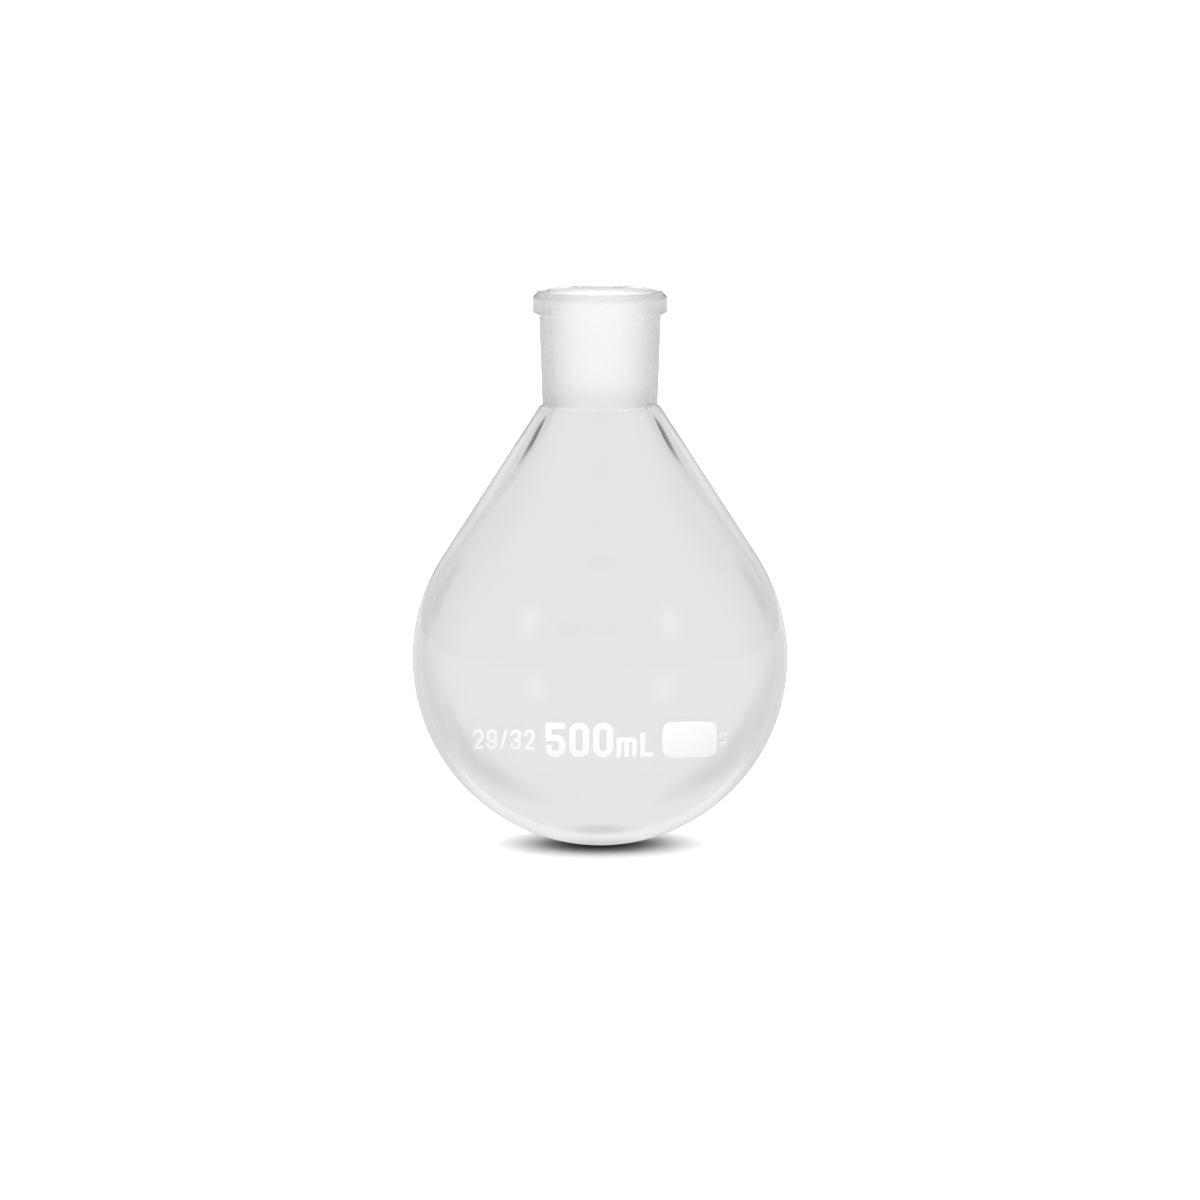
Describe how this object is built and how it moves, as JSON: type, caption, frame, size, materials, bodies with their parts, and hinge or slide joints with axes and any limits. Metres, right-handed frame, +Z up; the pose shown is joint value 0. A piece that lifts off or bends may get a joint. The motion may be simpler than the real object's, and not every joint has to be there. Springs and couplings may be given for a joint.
{
  "type": "pear-shaped flask",
  "caption": "Clear glass evaporating flask with a round bottom, a conical shoulder, a short frosted ground-socket neck with a thick rim, and white enamel marks.",
  "frame": {"origin": "centre of the ground socket's mouth, level with the top of the rim", "axes": "+Z up along the flask's axis, out of the mouth; -Y towards the reader of the enamel marks; +X to the reader's right"},
  "size_m": [0.105, 0.105, 0.1556],
  "materials": {
    "clear_glass": "clear fire-polished borosilicate glass, fine-ground inside the neck",
    "white_enamel": "fired opaque white enamel, satin"
  },
  "bodies": {
    "root": {"flask": "clear_glass", "capacity_mark": "white_enamel", "socket_size_mark": "white_enamel", "writing_patch": "white_enamel", "glass_type_mark": "white_enamel"}
  },
  "joints": []
}
